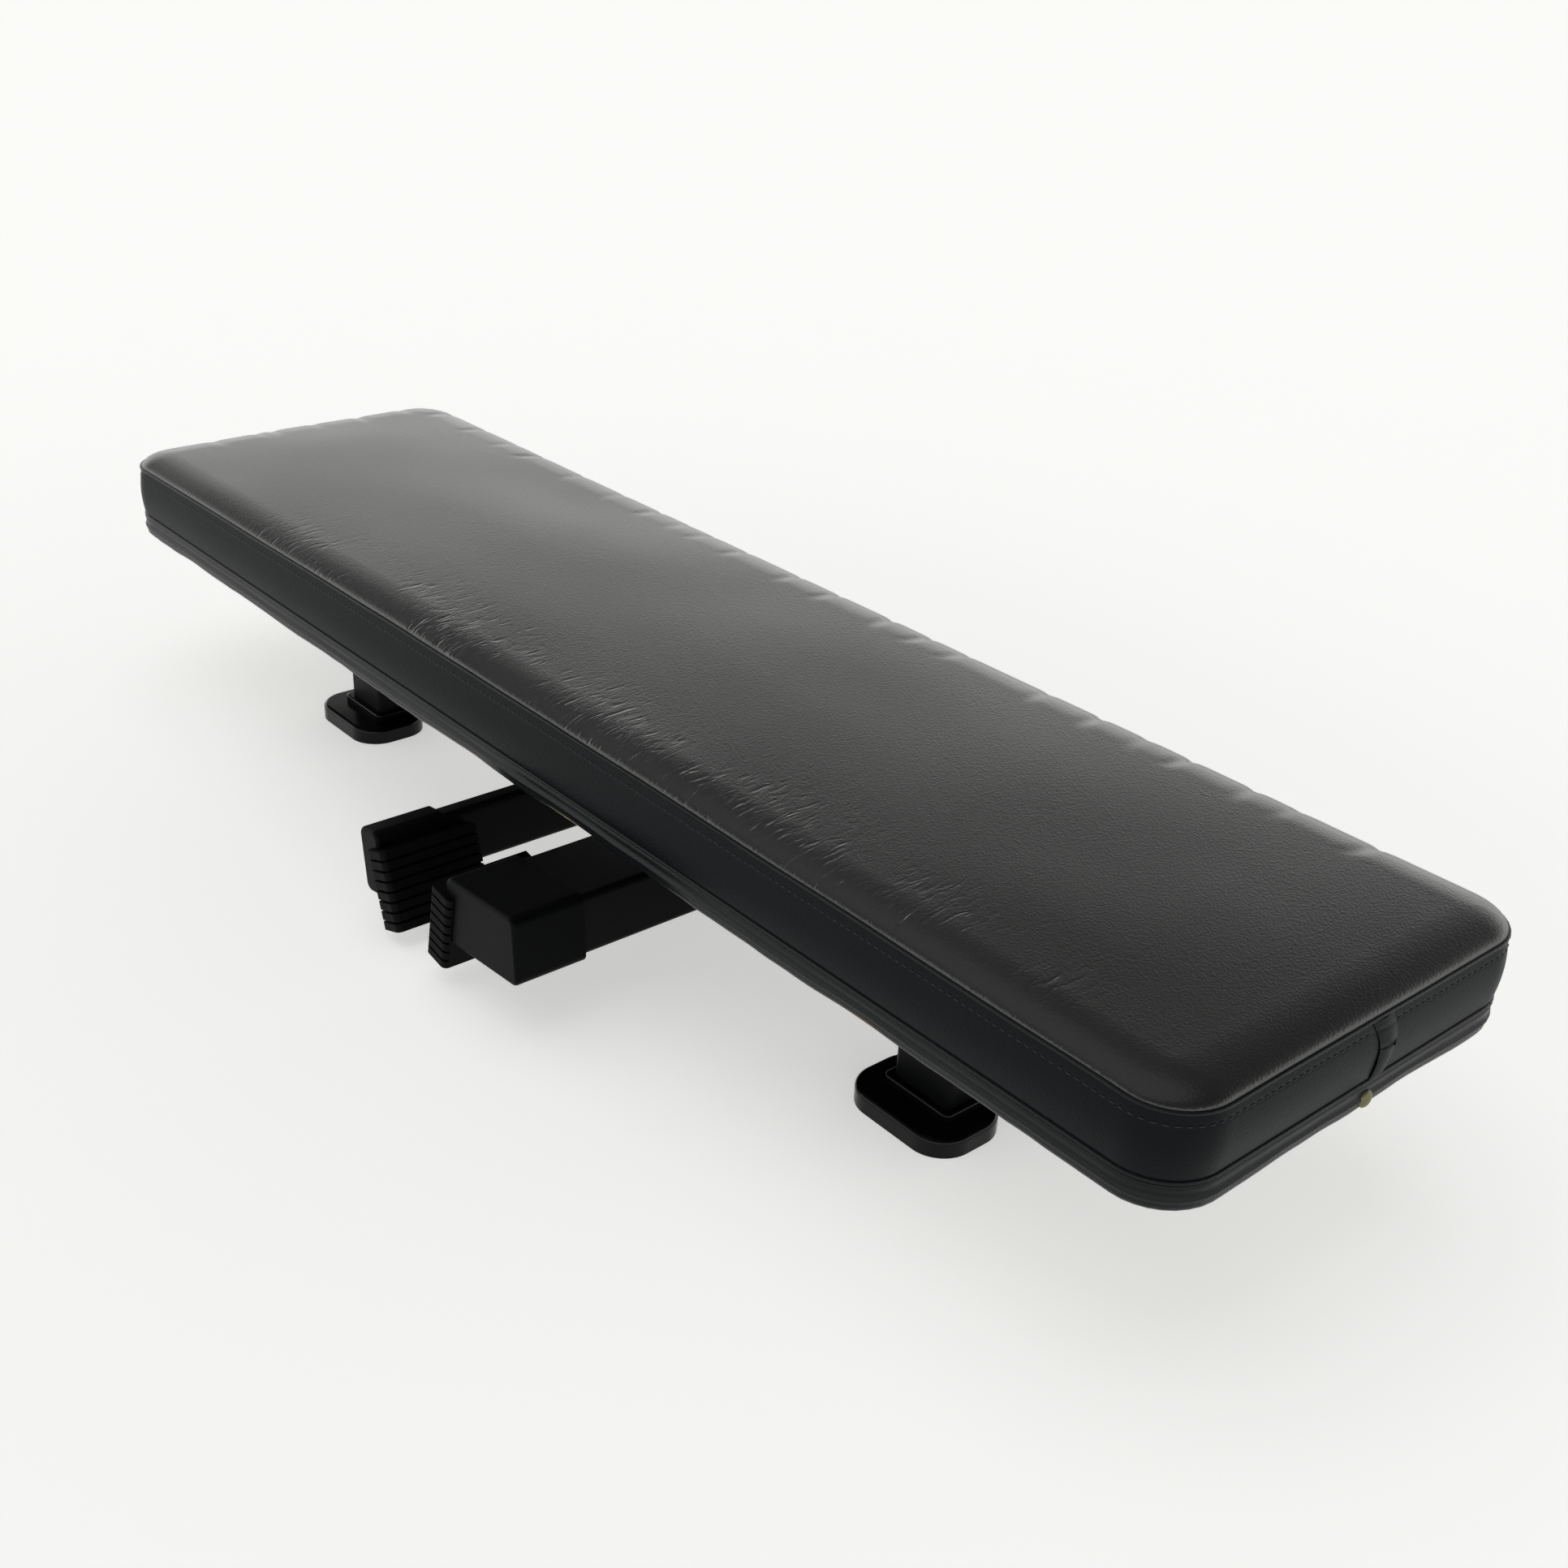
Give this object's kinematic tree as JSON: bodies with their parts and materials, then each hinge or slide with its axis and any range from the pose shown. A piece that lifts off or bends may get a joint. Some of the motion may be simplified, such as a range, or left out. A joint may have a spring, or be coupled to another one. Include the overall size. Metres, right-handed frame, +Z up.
{
  "type": "folding weight bench",
  "caption": "Low flat weight bench with a long padded vinyl top on stub feet and two T-shaped legs that fold out from under it to raise it.",
  "frame": {"origin": "on the floor, midway along and across the pad", "axes": "+X along the pad towards the end with the cover's closing flap, +Y to the left of someone looking along +X, +Z up"},
  "size_m": [1.1, 0.423, 0.1794],
  "materials": {
    "black_vinyl": "satin upholstery vinyl with a fine leather grain",
    "piping_vinyl": "smooth vinyl piping, slightly glossier than the panels",
    "foam": "cream polyurethane foam",
    "plywood": "birch plywood",
    "lining_cloth": "thin black non-woven cloth",
    "tack_brass": "dull antique brass",
    "gloss_black_foot": "glossy black moulding",
    "cap_plastic": "satin black moulding",
    "sole_rubber": "matt black ribbed rubber",
    "black_powder_coat": "satin black powder coat",
    "knob_plastic": "black turned knob",
    "nylon": "natural nylon",
    "blackened_bolt": "black-oxide steel",
    "zinc_steel": "bright zinc-plated steel"
  },
  "bodies": {
    "bench": {"base_piping": "piping_vinyl", "base_wrap": "black_vinyl", "bottom_lining": "lining_cloth", "cover_staples": "zinc_steel", "flap_tack": "tack_brass", "foam_core": "foam", "front_left_foot": "gloss_black_foot", "front_left_post": "black_powder_coat", "front_lock_housing": "black_powder_coat", "front_lock_spring": "zinc_steel", "front_mounting_plate": "black_powder_coat", "front_pivot_bolt": "zinc_steel", "front_pivot_nut": "zinc_steel", "front_right_foot": "gloss_black_foot", "front_right_post": "black_powder_coat", "pad_cover": "black_vinyl", "pivot_washers": "zinc_steel", "plate_bolts": "blackened_bolt", "plate_washers": "zinc_steel", "plywood_base": "plywood", "rear_left_foot": "gloss_black_foot", "rear_left_post": "black_powder_coat", "rear_lock_housing": "black_powder_coat", "rear_lock_spring": "zinc_steel", "rear_mounting_plate": "black_powder_coat", "rear_pivot_bolt": "zinc_steel", "rear_pivot_nut": "zinc_steel", "rear_right_foot": "gloss_black_foot", "rear_right_post": "black_powder_coat", "tee_nuts": "zinc_steel", "top_seam_piping": "piping_vinyl"},
    "front_leg": {"front_foot_bar": "black_powder_coat", "front_left_end_cap": "cap_plastic", "front_left_sole": "sole_rubber", "front_leg_bushes": "nylon", "front_leg_plug": "cap_plastic", "front_leg_tube": "black_powder_coat", "front_right_end_cap": "cap_plastic", "front_right_sole": "sole_rubber"},
    "rear_leg": {"rear_foot_bar": "black_powder_coat", "rear_left_end_cap": "cap_plastic", "rear_left_sole": "sole_rubber", "rear_leg_bushes": "nylon", "rear_leg_plug": "cap_plastic", "rear_leg_tube": "black_powder_coat", "rear_right_end_cap": "cap_plastic", "rear_right_sole": "sole_rubber"},
    "front_pull_pin": {"front_lock_pin": "zinc_steel", "front_lock_knob": "knob_plastic"},
    "rear_pull_pin": {"rear_lock_pin": "zinc_steel", "rear_lock_knob": "knob_plastic"}
  },
  "joints": [
    {"name": "front_leg_fold", "type": "hinge", "parent": "bench", "child": "front_leg", "pos_m": [0.319, 0, 0.064], "axis": [0, -1, 0], "range_deg": [0, 100]},
    {"name": "rear_leg_fold", "type": "hinge", "parent": "bench", "child": "rear_leg", "pos_m": [-0.325, 0, 0.064], "axis": [0, 1, 0], "range_deg": [0, 109]},
    {"name": "front_pin_pull", "type": "slide", "parent": "bench", "child": "front_pull_pin", "axis": [0, 1, 0], "range_m": [0, 0.012], "stiffness_N_per_m": 600, "springref_m": -0.01, "deforming": ["front_lock_spring"]},
    {"name": "rear_pin_pull", "type": "slide", "parent": "bench", "child": "rear_pull_pin", "axis": [0, 1, 0], "range_m": [0, 0.012], "stiffness_N_per_m": 600, "springref_m": -0.01, "deforming": ["rear_lock_spring"]}
  ]
}
